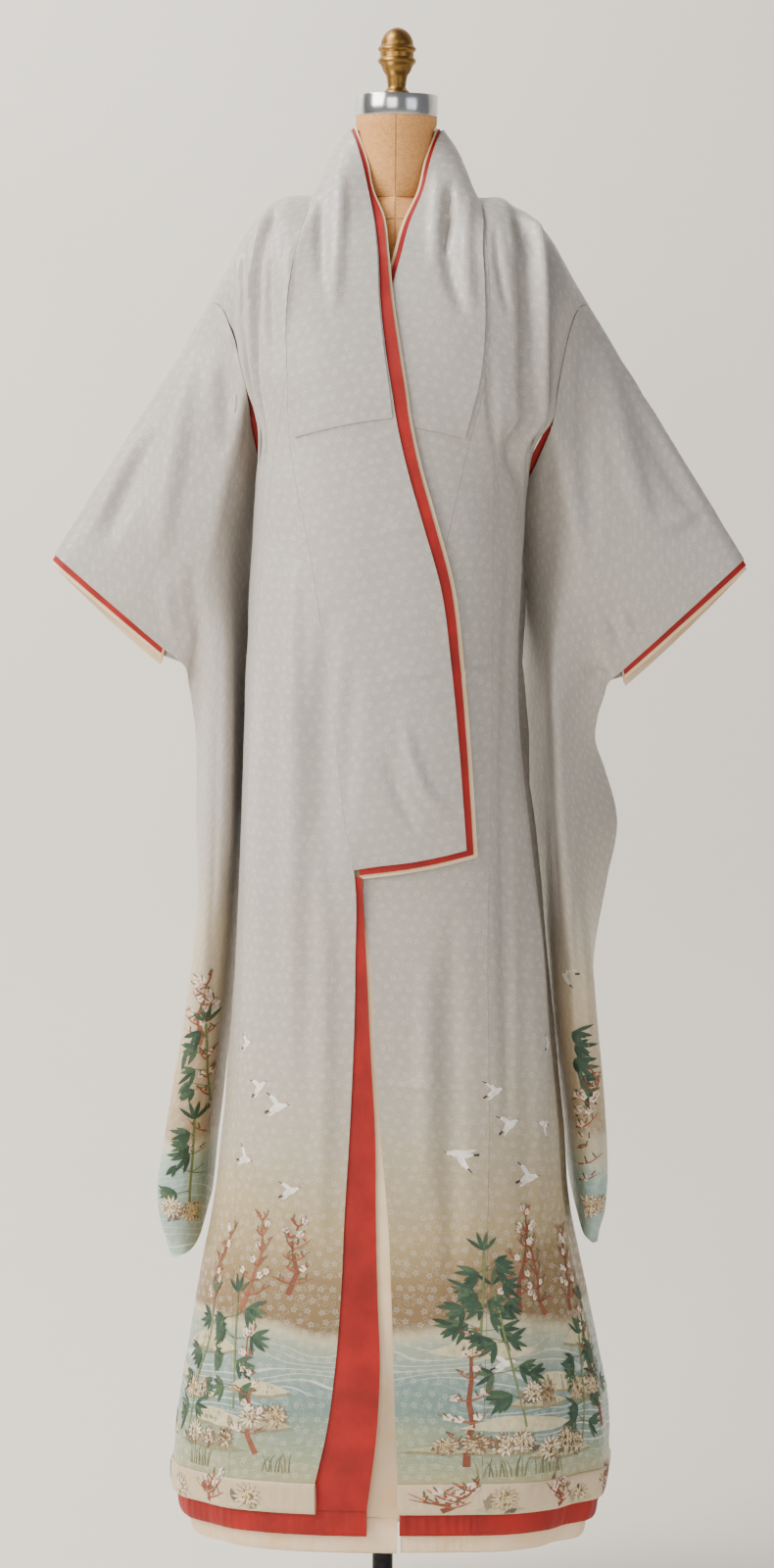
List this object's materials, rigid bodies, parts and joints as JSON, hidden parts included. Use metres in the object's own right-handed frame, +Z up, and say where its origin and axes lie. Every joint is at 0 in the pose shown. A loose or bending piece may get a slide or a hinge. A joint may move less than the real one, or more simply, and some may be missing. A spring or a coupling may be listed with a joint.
{
  "type": "silk kimono on a dress form",
  "caption": "Long-sleeved silk kimono hung open on a limbless dress form, left front on top, with a trailing collar, red and white under layers and hanging sleeves",
  "frame": {"origin": "middle of the base's underside, on the floor", "axes": "+Z up along the pole, -Y the kimono's front, +X to the right as seen from the front"},
  "size_m": [0.9203, 0.38, 2.1223],
  "materials": {
    "silver_silk": "figured silk with a soft sheen and small woven flowers",
    "cream_hem_silk": "figured silk, soft sheen",
    "vermilion_silk": "plain silk, soft sheen",
    "white_satin": "satin silk",
    "tan_linen": "matt linen cover",
    "chrome": "polished",
    "brass_paint": "aged, half gloss",
    "dark_steel": "dark grey, half gloss"
  },
  "bodies": {
    "root": {"body_left": "silver_silk", "body_right": "silver_silk", "okumi_left": "silver_silk", "okumi_right": "silver_silk", "collar": "silver_silk", "over_collar": "silver_silk", "sleeve_left": "silver_silk", "sleeve_right": "silver_silk", "hem_band_left": "cream_hem_silk", "hem_band_right": "cream_hem_silk", "red_cuff_left": "vermilion_silk", "red_cuff_right": "vermilion_silk", "red_underarm_left": "vermilion_silk", "red_underarm_right": "vermilion_silk", "red_collar": "vermilion_silk", "red_front": "vermilion_silk", "red_hem_left": "vermilion_silk", "red_hem_right": "vermilion_silk", "white_cuff_left": "white_satin", "white_cuff_right": "white_satin", "white_collar": "white_satin", "white_front": "white_satin", "white_hem_left": "white_satin", "white_hem_right": "white_satin", "form_torso": "tan_linen", "form_neck_ring": "chrome", "form_finial": "brass_paint", "form_pole": "dark_steel", "form_base": "dark_steel"}
  },
  "joints": []
}
